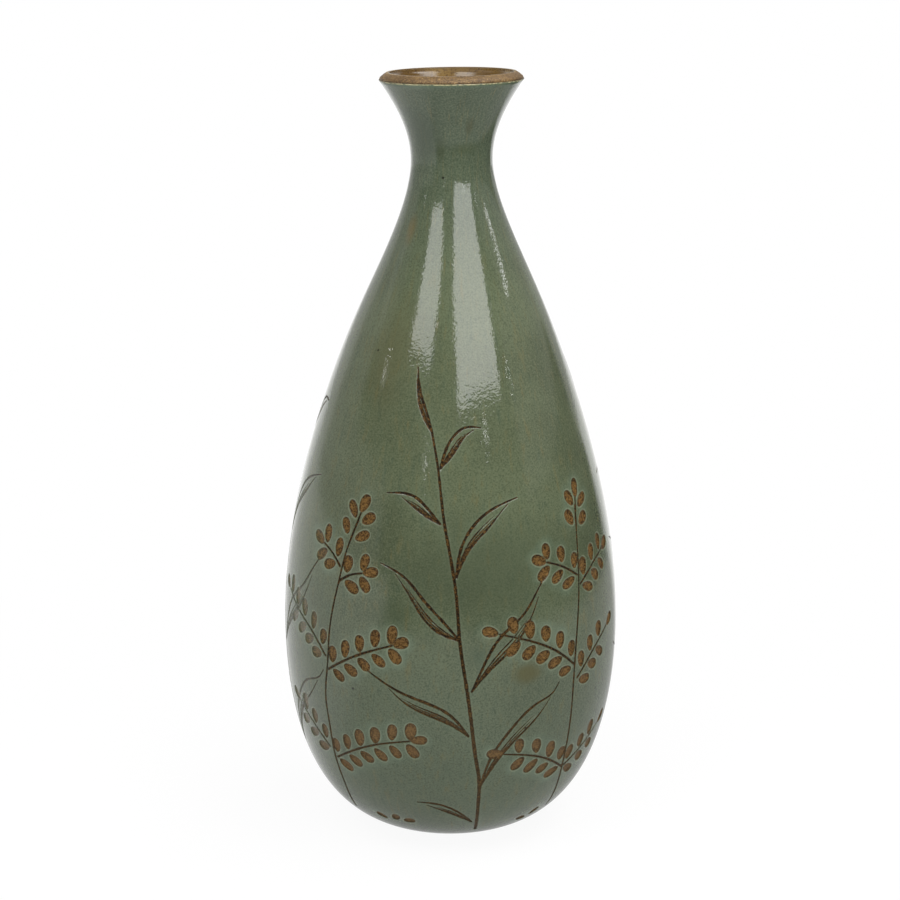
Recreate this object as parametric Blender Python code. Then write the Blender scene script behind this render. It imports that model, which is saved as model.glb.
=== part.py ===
"""A two-go sake bottle (tokkuri): a wheel-thrown stoneware vessel and its two coats of glaze.

The bottle is a turned form, so everything is drawn as a half section (radius, height) and spun
about +Z. One outline, the glazed outside, is described by five stations up the wall. Every other
surface lies at a stated depth behind it: the back of the outer glaze, the clay, and the glaze
inside. The origin is at the centre of the foot, on the surface that the bottle stands on.
Lengths are in metres and angles in radians.
"""

import math
from collections import namedtuple

import bmesh
import bpy
from mathutils import Vector

# ---------------------------------------------------------------------------------------------
# Driving dimensions
# ---------------------------------------------------------------------------------------------

# The foot, a turned ring of bare clay round a shallow recess.
FOOT_RADIUS = 0.01545         # outside of the ring
FOOT_RING = 0.0040            # width of the ring, its softened edges included
FOOT_RECESS = 0.0014          # how far the underside is turned away inside the ring
FOOT_SOFTENING = 0.0004       # radius on the ring's edges

# The outside, station by station. A rise is measured from the station below.
GLAZE_LINE = 0.0007           # height of the glaze's lower edge above the standing surface
BELLY_RADIUS = 0.0403
BELLY_RISE = 0.0498
SHOULDER_RADIUS = 0.02195
SHOULDER_RISE = 0.0766
NECK_RADIUS = 0.0095
NECK_RISE = 0.0347
LIP_RADIUS = 0.01685
LIP_RISE = 0.0183

# Which way the wall runs at a station, as the angle that it leans outwards from vertical.
FOOT_LEAN = 1.400
SHOULDER_LEAN = -0.409
LIP_LEAN = 0.597

# How firmly the outline holds its direction beside a station: the lengths of the curve handles.
FOOT_PULL = 0.0176
BELLY_PULL_BELOW = 0.0255
BELLY_PULL_ABOVE = 0.0342
SHOULDER_PULL_BELOW = 0.0056
SHOULDER_PULL_ABOVE = 0.0131
NECK_PULL_BELOW = 0.0097
NECK_PULL_ABOVE = 0.0072
LIP_PULL = 0.0051

# The lip: both coats stop short of it, and its top is a bevel that climbs to an inner crest.
LIP_BAND = 0.0006             # bare clay between the outer glaze and the lip's outer edge
LIP_BEVEL_RISE = 0.0018       # outer edge to crest, before the crest is rounded
LIP_EDGE_SOFTENING = 0.0002
LIP_CREST_SOFTENING = 0.0004

# The wall is clay between two coats of glaze. The clay is thinner at the lip than at the belly.
OUTER_GLAZE = 0.0006
INNER_GLAZE = 0.0004
CLAY_AT_FOOT = 0.0034
CLAY_AT_BELLY = 0.0026
CLAY_AT_SHOULDER = 0.0025
CLAY_AT_NECK = 0.0025
CLAY_AT_LIP = 0.0014
CLAY_FLOOR = 0.0027           # thickness of the floor above the recess

GAP = 0.0003                  # clearance between a coat and the clay that it covers

# Facets
SEGMENTS = 40                 # round the axis
SPAN_STEPS = (8, 6, 5, 5)     # up each stretch of the wall, foot to lip
FLOOR_STEPS = 4               # from the axis to the wall
SOFTENING_STEPS = 3           # round each softened edge
SHARP_ANGLE = math.radians(35)

# ---------------------------------------------------------------------------------------------
# Finishes: base colour (linear), roughness
# ---------------------------------------------------------------------------------------------

Finish = namedtuple("Finish", "colour roughness")

BARE_CLAY = Finish((0.235, 0.135, 0.058), 0.62)
CELADON_GLAZE = Finish((0.125, 0.165, 0.118), 0.12)
AMBER_GLAZE = Finish((0.190, 0.088, 0.026), 0.14)


def make_material(name, finish):
    """A Principled material of one of the finishes above. Fired clay and glass aren't metal."""
    material = bpy.data.materials.new(name)
    material.use_nodes = True
    shader = material.node_tree.nodes["Principled BSDF"]
    shader.inputs["Base Color"].default_value = (*finish.colour, 1.0)
    shader.inputs["Roughness"].default_value = finish.roughness
    shader.inputs["Metallic"].default_value = 0.0
    material.diffuse_color = (*finish.colour, 1.0)
    return material


# ---------------------------------------------------------------------------------------------
# The outline. A section point is a 2D vector: x is the radius and y is the height.
# ---------------------------------------------------------------------------------------------


class Station:
    """A level of the wall at which its radius, direction and clay thickness are stated."""

    def __init__(self, radius, height, lean, pull_below, pull_above, clay):
        self.point = Vector((radius, height))
        self.along = Vector((math.sin(lean), math.cos(lean)))
        self.pull_below = pull_below
        self.pull_above = pull_above
        self.clay = clay

    @property
    def inward(self):
        """The direction from the glazed outside into the wall."""
        return Vector((-self.along.y, self.along.x))

    def at(self, along, depth):
        """The section point this far up the wall from the station and this deep inside it."""
        return self.point + self.along * along + self.inward * depth


def make_stations():
    """The levels of the wall, from the glaze's lower edge to its upper edge."""
    # The lower edge keeps its gap to the foot ring at the back of the glaze, which leans inwards.
    glaze_foot_radius = FOOT_RADIUS + GAP + OUTER_GLAZE * math.cos(FOOT_LEAN)
    belly_height = GLAZE_LINE + BELLY_RISE
    shoulder_height = belly_height + SHOULDER_RISE
    neck_height = shoulder_height + NECK_RISE
    lip_height = neck_height + LIP_RISE
    lip_edge = Station(LIP_RADIUS, lip_height, LIP_LEAN, 0.0, 0.0, CLAY_AT_LIP)
    glaze_top = lip_edge.at(-LIP_BAND, 0.0)
    return [
        Station(glaze_foot_radius, GLAZE_LINE, FOOT_LEAN, 0.0, FOOT_PULL, CLAY_AT_FOOT),
        Station(BELLY_RADIUS, belly_height, 0.0, BELLY_PULL_BELOW, BELLY_PULL_ABOVE, CLAY_AT_BELLY),
        Station(SHOULDER_RADIUS, shoulder_height, SHOULDER_LEAN,
                SHOULDER_PULL_BELOW, SHOULDER_PULL_ABOVE, CLAY_AT_SHOULDER),
        Station(NECK_RADIUS, neck_height, 0.0, NECK_PULL_BELOW, NECK_PULL_ABOVE, CLAY_AT_NECK),
        Station(glaze_top.x, glaze_top.y, LIP_LEAN, LIP_PULL, 0.0, CLAY_AT_LIP),
    ]


def bezier(start, start_handle, end_handle, end, t):
    """The point at t on a cubic curve, and the direction in which the curve runs there."""
    s = 1.0 - t
    point = s**3 * start + 3 * s * s * t * start_handle + 3 * s * t * t * end_handle + t**3 * end
    run = s * s * (start_handle - start) + 2 * s * t * (end_handle - start_handle)
    run = run + t * t * (end - end_handle)
    return point, run.normalized()


def wall(depth, clay_share=0.0):
    """The wall's line from foot to lip, this deep behind the glazed outside.

    A clay share of 1 adds the thickness of the clay, which eases from each station to the next.
    """
    line = []
    for below, above, steps in zip(STATIONS, STATIONS[1:], SPAN_STEPS):
        handle_up = below.point + below.along * below.pull_above
        handle_down = above.point - above.along * above.pull_below
        first_step = 1 if line else 0
        for step in range(first_step, steps + 1):
            t = step / steps
            point, run = bezier(below.point, handle_up, handle_down, above.point, t)
            ease = t * t * (3.0 - 2.0 * t)
            clay = below.clay + (above.clay - below.clay) * ease
            inward = Vector((-run.y, run.x))
            line.append(point + inward * (depth + clay_share * clay))
    return line


def floor_line(height, wall_foot):
    """The inside of the base, from its centre at this height to the foot of a wall line."""
    third = wall_foot.x / 3.0
    centre = Vector((0.0, height))
    level_handle = Vector((third, height))
    wall_handle = wall_foot - STATIONS[0].along * third
    return [bezier(centre, level_handle, wall_handle, wall_foot, step / FLOOR_STEPS)[0]
            for step in range(FLOOR_STEPS)]


def soften(before, corner, after, radius):
    """The arc that rounds the corner between two straight stretches of a section."""
    to_before = (before - corner).normalized()
    to_after = (after - corner).normalized()
    half_angle = to_before.angle(to_after) / 2.0
    tangent_length = radius / math.tan(half_angle)
    centre = corner + (to_before + to_after).normalized() * (radius / math.sin(half_angle))
    start = corner + to_before * tangent_length - centre
    sweep = math.pi - 2.0 * half_angle
    if start.x * to_before.y - start.y * to_before.x > 0.0:
        sweep = -sweep
    arc = []
    for step in range(SOFTENING_STEPS + 1):
        turn = sweep * step / SOFTENING_STEPS
        cosine, sine = math.cos(turn), math.sin(turn)
        arc.append(centre + Vector((start.x * cosine - start.y * sine,
                                    start.x * sine + start.y * cosine)))
    return arc


# ---------------------------------------------------------------------------------------------
# Turning a section into a solid
# ---------------------------------------------------------------------------------------------


def turn(name, section, closed, finish):
    """Spin a section once round +Z into an object of its own.

    A closed section is a ring of points clear of the axis. An open one starts and ends on it.
    """
    bm = bmesh.new()
    verts = [bm.verts.new((point.x, 0.0, point.y)) for point in section]
    edges = [bm.edges.new(pair) for pair in zip(verts, verts[1:])]
    if closed:
        edges.append(bm.edges.new((verts[-1], verts[0])))
    bmesh.ops.spin(bm, geom=verts + edges, cent=(0.0, 0.0, 0.0), axis=(0.0, 0.0, 1.0),
                   dvec=(0.0, 0.0, 0.0), angle=math.tau, steps=SEGMENTS, use_merge=True)
    bmesh.ops.remove_doubles(bm, verts=bm.verts, dist=GAP / 100.0)
    bmesh.ops.recalc_face_normals(bm, faces=bm.faces)
    mesh = bpy.data.meshes.new(name)
    bm.to_mesh(mesh)
    bm.free()
    mesh.shade_smooth()
    mesh.set_sharp_from_angle(angle=SHARP_ANGLE)
    mesh.materials.append(make_material(name, finish))
    obj = bpy.data.objects.new(name, mesh)
    bpy.context.scene.collection.objects.link(obj)
    return obj


# ---------------------------------------------------------------------------------------------
# The pieces
# ---------------------------------------------------------------------------------------------


def foot_section(wall_foot):
    """The underside of the clay, from the axis over the recess and the foot ring to the wall."""
    ring_inside = FOOT_RADIUS - FOOT_RING
    recess_centre = Vector((0.0, FOOT_RECESS))
    recess_edge = Vector((ring_inside, FOOT_RECESS))
    inner_edge = Vector((ring_inside, 0.0))
    outer_edge = Vector((FOOT_RADIUS, 0.0))
    glaze_stop = Vector((FOOT_RADIUS, wall_foot.y))
    section = [recess_centre]
    section += soften(recess_centre, recess_edge, inner_edge, FOOT_SOFTENING)
    section += soften(recess_edge, inner_edge, outer_edge, FOOT_SOFTENING)
    section += soften(inner_edge, outer_edge, glaze_stop, FOOT_SOFTENING)
    section.append(glaze_stop)
    return section


def lip_section(clay_front, clay_back, wall_back):
    """The bare head of the clay, which is flush with both coats, from outside to inside."""
    top = STATIONS[-1]
    outer_ledge = top.at(GAP, 0.0)
    outer_edge = top.at(LIP_BAND, 0.0)
    # The crest lies over the inner coat's face, at the height that the bevel climbs to.
    climb = (outer_edge.y + LIP_BEVEL_RISE - top.at(0.0, wall_back).y) / top.along.y
    crest = top.at(climb, wall_back)
    inner_ledge = top.at(GAP, wall_back)
    section = [top.at(GAP, clay_front), outer_ledge]
    section += soften(outer_ledge, outer_edge, crest, LIP_EDGE_SOFTENING)
    section += soften(outer_edge, crest, inner_ledge, LIP_CREST_SOFTENING)
    section += [inner_ledge, top.at(GAP, clay_back)]
    return section


def make_stoneware_body():
    """The thrown vessel itself: foot ring, floor, wall, neck and bare lip in one piece of clay."""
    clay_front = OUTER_GLAZE + GAP
    clay_back = clay_front + CLAY_AT_LIP
    wall_back = clay_back + GAP + INNER_GLAZE
    outside = wall(clay_front)
    inside = wall(clay_front, clay_share=1.0)
    floor = floor_line(FOOT_RECESS + CLAY_FLOOR, inside[0])
    section = foot_section(outside[0]) + outside
    section += lip_section(clay_front, clay_back, wall_back)
    section += inside[::-1] + floor[::-1]
    return turn("stoneware_body", section, False, BARE_CLAY)


def make_outer_glaze():
    """The celadon coat, from just above the foot ring to just under the lip."""
    section = wall(0.0) + wall(OUTER_GLAZE)[::-1]
    return turn("outer_glaze", section, True, CELADON_GLAZE)


def make_inner_glaze():
    """The amber liner coat, from just inside the lip down the bore and over the floor."""
    back = OUTER_GLAZE + GAP + GAP
    front = back + INNER_GLAZE
    back_height = FOOT_RECESS + CLAY_FLOOR + GAP
    back_line = wall(back, clay_share=1.0)
    front_line = wall(front, clay_share=1.0)
    section = floor_line(back_height, back_line[0]) + back_line
    section += front_line[::-1] + floor_line(back_height + INNER_GLAZE, front_line[0])[::-1]
    return turn("inner_glaze", section, False, AMBER_GLAZE)


STATIONS = make_stations()


def main():
    for old in list(bpy.data.objects):
        bpy.data.objects.remove(old, do_unlink=True)
    for piece in (make_stoneware_body(), make_outer_glaze(), make_inner_glaze()):
        height = max(vert.co.z for vert in piece.data.vertices)
        width = max(vert.co.x for vert in piece.data.vertices) * 2.0
        print(f"{piece.name}: {width * 1000:.1f} mm across, {height * 1000:.1f} mm high,",
              f"{len(piece.data.polygons)} faces")


main()
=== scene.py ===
# %% [markdown]
# # A stoneware sake bottle under soft light
#
# This bottle, a tokkuri, is thrown on a wheel from brown stoneware, cut with reeds and leafy sprays while
# the clay is leather hard, dipped in a grey-green glaze and fired. Nothing on it moves. Its three layers
# are the clay, the glaze outside and the amber glaze inside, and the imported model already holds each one
# as a plain turned solid of the right size.
#
# The lesson dresses those solids: it reads their outlines back, turns them again with many more facets,
# cuts the decoration into the outer glaze as real relief, and mixes the three finishes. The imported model
# is loaded first, because everything that follows takes its sizes from it.

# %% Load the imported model
import math
import random

import bpy
import numpy as np
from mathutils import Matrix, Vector
from mathutils.geometry import delaunay_2d_cdt


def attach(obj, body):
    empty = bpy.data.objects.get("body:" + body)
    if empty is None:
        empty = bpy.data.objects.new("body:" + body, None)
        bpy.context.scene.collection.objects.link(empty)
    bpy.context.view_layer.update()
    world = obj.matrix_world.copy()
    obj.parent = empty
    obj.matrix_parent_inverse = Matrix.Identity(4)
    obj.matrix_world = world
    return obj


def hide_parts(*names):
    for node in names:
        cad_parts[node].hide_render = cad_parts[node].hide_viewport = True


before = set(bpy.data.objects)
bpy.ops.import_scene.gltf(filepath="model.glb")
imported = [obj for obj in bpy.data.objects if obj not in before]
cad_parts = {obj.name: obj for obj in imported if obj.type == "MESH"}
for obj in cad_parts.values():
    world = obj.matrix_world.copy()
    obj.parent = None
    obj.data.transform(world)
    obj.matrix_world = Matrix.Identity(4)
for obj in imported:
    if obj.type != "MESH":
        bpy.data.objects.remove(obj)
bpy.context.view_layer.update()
MM = 0.001  # the shop's unit in metres: sizes below are in millimetres, angles in degrees
CLEARANCE = 0.3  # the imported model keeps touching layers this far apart
print("nodes:", sorted(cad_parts))

# %% [markdown]
# ## Reading the outlines back
#
# A turned piece is one outline swept round an axis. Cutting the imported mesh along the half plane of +X
# gives that outline as a short chain of points. We collect the edges that lie in the plane and walk from
# one to the next. Points are compared after rounding, because an imported mesh splits its corners where
# the shading changes.

# %% Walk the section of a turned node
def section(node):
    """The outline of a turned node as an ordered line of (radius, height)."""
    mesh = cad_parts[node].data
    places = [tuple(round(c / MM, 4) for c in vertex.co) for vertex in mesh.vertices]
    joined = {}
    for edge in mesh.edges:
        ends = [places[i] for i in edge.vertices]
        if ends[0] != ends[1] and all(abs(y) < 0.001 and x > -0.001 for x, y, z in ends):
            first, second = [(x, z) for x, y, z in ends]
            joined.setdefault(first, []).append(second)
            joined.setdefault(second, []).append(first)
    loose = [place for place in joined if len(set(joined[place])) == 1]
    line = [min(loose or joined)]
    while len(line) < len(joined):
        line.append(next(place for place in joined[line[-1]] if place not in line))
    return np.array(line)


sections = {node: section(node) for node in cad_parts}
for node, line in sections.items():
    print(node, len(line), "points, height", line[:, 1].min(), "to", line[:, 1].max())

# %% [markdown]
# ## Drawing them smooth
#
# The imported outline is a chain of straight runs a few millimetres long, which would show as flats in a
# glossy glaze. A natural cubic spline passes through the same points and keeps its bend unbroken, so a
# reflection slides over it without a kink. Real corners, such as the edge of the foot, must stay corners:
# the line is cut there and each stretch is drawn by itself.

# %% A spline through points, and an outline redrawn with it
def spline(knots, values, at):
    """The natural cubic spline through values at knots, worked out at each place in at."""
    gaps = np.diff(knots)
    count = len(knots)
    system = np.eye(count)
    pull = np.zeros(values.shape)
    for i in range(1, count - 1):
        system[i, i - 1 : i + 2] = gaps[i - 1], 2 * (gaps[i - 1] + gaps[i]), gaps[i]
        pull[i] = 6 * (values[i + 1] - values[i]) / gaps[i] - 6 * (values[i] - values[i - 1]) / gaps[i - 1]
    bend = np.linalg.solve(system, pull)
    i = np.clip(np.searchsorted(knots, at, side="right") - 1, 0, count - 2)
    ahead = (knots[i + 1] - at)[:, None]
    behind = (at - knots[i])[:, None]
    gap = gaps[i][:, None]
    curve = (bend[i] * ahead**3 + bend[i + 1] * behind**3) / (6 * gap)
    curve = curve + (values[i] / gap - bend[i] * gap / 6) * ahead
    return curve + (values[i + 1] / gap - bend[i + 1] * gap / 6) * behind


def travelled(line):
    """How far along the line each of its points is."""
    return np.concatenate([[0], np.cumsum(np.linalg.norm(np.diff(line, axis=0), axis=1))])


CORNER = math.radians(38)  # a sharper turn than this is a real corner


def redraw(line, step):
    """The line with its smooth stretches as splines that stay between its lowest and highest point."""
    runs = np.diff(line, axis=0)
    heading = np.arctan2(runs[:, 1], runs[:, 0])
    turning = np.abs((np.diff(heading) + math.pi) % (2 * math.pi) - math.pi)
    cuts = [0, *(np.flatnonzero(turning > CORNER) + 1), len(line) - 1]
    drawn = []
    for start, end in zip(cuts, cuts[1:]):
        stretch = line[start : end + 1]
        knots = travelled(stretch)
        at = np.linspace(0, knots[-1], max(2, math.ceil(knots[-1] / step) + 1))
        drawn.append(spline(knots, stretch, at)[:-1])
    drawn = np.concatenate([*drawn, line[-1:]])
    drawn[:, 1] = np.clip(drawn[:, 1], line[:, 1].min(), line[:, 1].max())
    return drawn


print("a turn of more than", round(math.degrees(CORNER)), "degrees stays a corner")

# %% [markdown]
# ## The skin of the bottle
#
# Everything outside is measured on one line, from the glaze's edge at the foot up to its edge under the
# lip. A place on the skin is then two numbers, an azimuth round the bottle and a distance along that
# line, and a third says how deep it lies under the surface. Azimuth 0 faces the viewer and grows to the
# right.

# %% The outer line of the glaze, as a table to look places up in
def outer_line():
    """The outer one of the glaze coat's two long sides, from the foot to the lip."""
    loop = sections["outer_glaze"]
    lengths = np.linalg.norm(np.roll(loop, -1, axis=0) - loop, axis=1)
    first, second = np.sort(np.argsort(lengths)[:2]) + 1  # the two shortest runs are the coat's ends
    sides = [loop[first:second], np.concatenate([loop[second:], loop[:first]])]
    side = max(sides, key=lambda points: points[:, 0].mean())
    return side if side[0, 1] < side[-1, 1] else side[::-1]


class Skin:
    """The surface turned from one line: radius, height and slope at any distance along it."""

    def __init__(self, line, reach):
        knots = travelled(line)
        self.start = -reach
        self.end = knots[-1] + reach
        self.along = np.arange(self.start, self.end + 0.05, 0.1)
        points = spline(knots, line, self.along)
        self.radius, self.height = points.T
        slope = np.gradient(points, self.along, axis=0)
        slope /= np.linalg.norm(slope, axis=1)[:, None]
        self.out, self.up = slope[:, 1], -slope[:, 0]  # the way straight out of the surface
        self.growth = np.concatenate([[0], np.cumsum(np.diff(self.along) / self.radius[1:])])

    def look(self, table, along):
        return np.interp(along, self.along, table)

    def along_at(self, height):
        return np.interp(height, self.height, self.along)

    def place(self, turn, along, depth=0.0):
        """Points in space for azimuths in radians, distances along the line and depths under it."""
        radius = self.look(self.radius, along) - depth * self.look(self.out, along)
        height = self.look(self.height, along) - depth * self.look(self.up, along)
        return np.stack([radius * np.sin(turn), -radius * np.cos(turn), height], axis=-1)

    def straight_out(self, turn, along):
        """The direction straight out of the surface."""
        out = self.look(self.out, along)
        return np.stack([out * np.sin(turn), -out * np.cos(turn), self.look(self.up, along)], axis=-1)


skin = Skin(outer_line(), CLEARANCE + 0.05)  # a hair past the gap, so that glaze and clay meet
print("line of", round(skin.end - skin.start, 1), "mm, widest radius", round(float(skin.radius.max()), 2))

# %% [markdown]
# ## What the knife drew
#
# The decoration is a meadow: four tall reeds with long narrow blades, and between them four plants whose
# branches carry small leaflets in pairs. It is an old and common kind of ornament, and each bottle is
# drawn freehand. Every mark is a stroke, a line with a half width at each of its points, and a leaflet is
# a very short and fat one. That gives one way to find how far any place is from the nearest cut, which is
# what the relief and the colours need.
#
# Marks are drawn where they belong on the bottle, with azimuths in degrees and heights in millimetres.

# %% Strokes of the knife
MARGIN = 3.6  # how far from a cut its distance still matters
rng = random.Random(7)


def flatten(points):
    """Azimuths and heights as azimuths in radians and distances along the skin."""
    points = np.array(points, float)
    return np.stack([np.radians(points[:, 0]), skin.along_at(points[:, 1])], axis=1)


def scale_at(along):
    """Millimetres across for a radian of azimuth."""
    return skin.look(skin.radius, along)


def wrapped(angles):
    """Angles in radians brought between minus and plus half a turn."""
    return (angles + math.pi) % (2 * math.pi) - math.pi


class Stroke:
    """A cut along points of the skin, with a half width at each."""

    line = 1.0  # a line of the knife, where a leaflet has 0

    def __init__(self, points, half_widths):
        self.points = np.array(points, float)
        self.half_widths = np.array(half_widths, float)

    def near(self, places):
        """Which places are within the margin of the stroke's own box."""
        reach = MARGIN + self.half_widths.max()
        low = self.points.min(axis=0)
        high = self.points.max(axis=0)
        wide = scale_at(places[:, 1])
        across = np.abs(wrapped(places[:, 0] - (low[0] + high[0]) / 2))
        beside = across * wide < (high[0] - low[0]) / 2 * wide + reach
        level = (places[:, 1] > low[1] - reach) & (places[:, 1] < high[1] + reach)
        return np.flatnonzero(beside & level)

    def distance(self, places):
        """Signed distance to the stroke's edge, negative inside the cut."""
        wide = scale_at(places[:, 1])[:, None]
        across = wrapped(places[:, :1] - self.points[None, :-1, 0]) * wide
        away = np.stack([across, places[:, 1:] - self.points[None, :-1, 1]], axis=-1)
        runs = np.diff(self.points, axis=0)[None] * np.stack([wide, np.ones_like(wide)], axis=-1)
        share = np.clip((away * runs).sum(-1) / np.maximum((runs * runs).sum(-1), 1e-12), 0, 1)
        gap = np.linalg.norm(away - share[..., None] * runs, axis=-1)
        half = self.half_widths[:-1] + share * np.diff(self.half_widths)
        return (gap - half).min(axis=1)

    def outline(self, offset):
        """The closed line at a given distance outside the stroke's edge."""
        wide = scale_at(self.points[:, 1])
        scale = np.stack([wide, np.ones_like(wide)], axis=1)
        heading = np.gradient(self.points, axis=0) * scale
        heading /= np.linalg.norm(heading, axis=1)[:, None]
        aside = np.stack([-heading[:, 1], heading[:, 0]], axis=1) / scale
        heading /= scale
        reach = np.maximum(self.half_widths + offset, 0.02)[:, None]
        start, end = self.points[:1] - (heading * reach)[:1], self.points[-1:] + (heading * reach)[-1:]
        left, right = self.points + aside * reach, self.points - aside * reach
        return np.concatenate([start, left, end, right[::-1]])


class Leaflet(Stroke):
    """A small egg-shaped cut; lean is the direction of its broad tip, in degrees up from the right."""

    line = 0.0
    egg = 0.17  # how much broader it is at the tip than in the middle

    def __init__(self, azimuth, height, lean, length, width):
        middle = flatten([(azimuth, height)])
        super().__init__(middle, [length / 2])
        self.half = np.array([length, width]) / 2
        self.heading = np.array([math.cos(math.radians(lean)), math.sin(math.radians(lean))])

    def distance(self, places):
        """Close to the true distance near the edge, which is where it counts."""
        across = wrapped(places[:, 0] - self.points[0, 0]) * scale_at(places[:, 1])
        above = places[:, 1] - self.points[0, 1]
        lengthwise = across * self.heading[0] + above * self.heading[1] + 1e-6
        sideways = above * self.heading[0] - across * self.heading[1]
        broad = self.half[1] * (1 + self.egg * np.clip(lengthwise / self.half[0], -1, 1))
        size = np.hypot(lengthwise / self.half[0], sideways / broad)
        slope = np.hypot(lengthwise / self.half[0] ** 2, sideways / broad**2)
        return size * (size - 1) / slope

    def outline(self, offset):
        turns = np.arange(18) * 2 * math.pi / 18
        lengthwise = (self.half[0] + offset) * np.cos(turns)
        sideways = (self.half[1] * (1 + self.egg * np.cos(turns)) + offset) * np.sin(turns)
        across = lengthwise * self.heading[0] - sideways * self.heading[1]
        above = lengthwise * self.heading[1] + sideways * self.heading[0]
        along = self.points[0, 1] + above
        return np.stack([self.points[0, 0] + across / scale_at(along), along], axis=1)


def knife_line(points, half_widths, spacing=0.8, wobble=0.12):
    """A smooth stroke through points given as azimuths and heights, its width a little uneven."""
    points = flatten(points)
    mid = scale_at(points[:, 1].mean())
    knots = travelled(points * [mid, 1.0])
    steps = max(4, math.ceil(knots[-1] / spacing))
    at = np.linspace(0, knots[-1], steps + 1)
    half = np.interp(at / knots[-1], np.linspace(0, 1, len(half_widths)), half_widths)
    half *= [1 + rng.uniform(-wobble, wobble) for _ in at]
    return Stroke(spline(knots, points, at), half)


print("a cut is felt up to", MARGIN, "mm away")

# %% [markdown]
# ## Reeds
#
# A reed is a stem that leans a little, with blades on both sides. One blade is four strokes: a long
# convex line that is its upper edge, a second line under it that ends short of the tip, a crescent
# scraped out along that second line, where lighter brown clay shows, and a thin line that ends the
# crescent. The few points of each line were read from a photograph of the bottle and brought to
# azimuths and heights. They are kept as a drawing and cut at an azimuth of their own, so the same hand
# can repeat it round the bottle.

# %% Draw a reed
REED_STEM = [(-8.1, 103.9), (-5.3, 97), (-2.8, 86.2), (-0.4, 77.8), (1.9, 67.6), (2.9, 58), (5, 47.4),
             (7, 37.3), (9, 27.8), (10.4, 22.8), (11.1, 16), (12.9, 5.6)]
REED_BLADES = [  # upper edge from the stem to the tip, then the lower edge
    ([(-8.1, 103.9), (-10.2, 107.2), (-14.6, 112.4), (-17.1, 117.7)],
     [(-8.1, 103.9), (-12.6, 107.6), (-15.8, 112.2), (-16.9, 116.2)]),
    ([(-4.1, 96.2), (0, 102.4), (5.6, 104.9), (12.7, 104.8)],
     [(-4.1, 96.2), (1.5, 99.9), (6.0, 103.2), (9.5, 104.4)]),
    ([(-3.8, 84.1), (-9.2, 87.8), (-13.7, 89.9), (-24.6, 90.2)],
     [(-3.8, 84.1), (-8.6, 85.6), (-13.5, 87.6), (-18.5, 89.6)]),
    ([(1.9, 72.3), (3.3, 78.2), (7.5, 83.2), (13.3, 86.4), (25.3, 89.1)],
     [(1.9, 72.3), (5.2, 77.2), (8.7, 80.2), (13.7, 83.2), (18.3, 86.2), (21.5, 88.0)]),
    ([(2.8, 57.9), (-2.5, 62.3), (-8.9, 67), (-15.7, 71.9), (-24.7, 74.6)],
     [(2.8, 57.9), (-2.5, 59.2), (-8.8, 62.8), (-14.2, 68.3), (-19.0, 72.5)]),
    ([(6.9, 45.7), (10.9, 52), (16.9, 58.5), (24.2, 62.5), (29.6, 67.1), (34.2, 71.2)],
     [(6.9, 45.7), (12.6, 50.4), (19.6, 54.8), (26.2, 60.4), (30.6, 66.4)]),
    ([(6, 34.5), (-0.8, 40.3), (-8.1, 42.9), (-15.5, 44.7), (-28.1, 49.2)],
     [(6, 34.5), (0.7, 37.2), (-6.7, 39.6), (-14.1, 42), (-20.5, 45.6)]),
    ([(11.2, 20.8), (14.8, 29.3), (20.6, 35.2), (30.2, 40.9), (36.4, 42.8), (38.6, 44.9)],
     [(11.2, 20.8), (16.4, 27.2), (23.2, 32.8), (30.6, 37.6), (35.2, 41.6)]),
    ([(9.8, 9), (2.0, 13.4), (-5.0, 15.4), (-13.1, 15.7)],
     [(9.8, 9), (2.6, 11.6), (-4.0, 13.6), (-9.5, 15.0)]),
]


def moved(points, turn, mirror=1, lift=0.0):
    """Points of a drawing, turned round the bottle, mirrored and lifted."""
    return [(turn + mirror * azimuth, height + lift * min(1, height / 40)) for azimuth, height in points]


def halfway(first, second, share):
    """The line between two lines of points, each taken as a smooth curve."""
    curves = []
    for points in (first, second):
        points = np.array(points, float)
        knots = travelled(points * [0.65, 1.0])
        curves.append(spline(knots, points, np.linspace(0, knots[-1] * 0.94, 6)))
    return curves[0] * (1 - share) + curves[1] * share


def blade(upper, lower):
    """Upper edge, lower edge, the crescent scraped along it and a thin line that ends the crescent."""
    strokes = [
        knife_line(upper, [0.28, 0.34, 0.35, 0.31, 0.14], 0.65, 0.18),
        knife_line(lower, [0.24, 0.29, 0.29, 0.23, 0.08], 0.65, 0.18),
    ]
    scrape = knife_line(halfway(lower, upper, 0.20)[:5], [0.05, 0.24, 0.24, 0.16, 0.05], 0.65, 0.25)
    scrape.line = 0.1
    inner = knife_line(halfway(lower, upper, 0.40)[:5], [0.10, 0.17, 0.18, 0.13, 0.05], 0.65, 0.25)
    strokes += [scrape, inner]
    return strokes


def reed(turn, mirror=1, lift=0.0):
    """A reed with its blades."""
    stem = knife_line(moved(REED_STEM, turn, mirror, lift), [0.26, 0.34, 0.38, 0.42, 0.44, 0.40])
    strokes = [stem]
    for upper, lower in REED_BLADES:
        strokes += blade(moved(upper, turn, mirror, lift), moved(lower, turn, mirror, lift))
    return strokes


print("a reed takes", len(reed(0)), "strokes")

# %% [markdown]
# ## Leafy plants
#
# A plant is a thin upright stem with branches. Each branch is a midrib with a row of leaflets on either
# side, the upper ones nearly upright and the lower ones hanging outward, and one more leaflet at its end.
# Only the midribs and the rows are written down: a row is where its first leaflet sits, in millimetres
# from the stem, and how many follow. The rest comes from the midrib, with a little unevenness from a
# seeded generator so that no two are alike and every run gives the same bottle.

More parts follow.
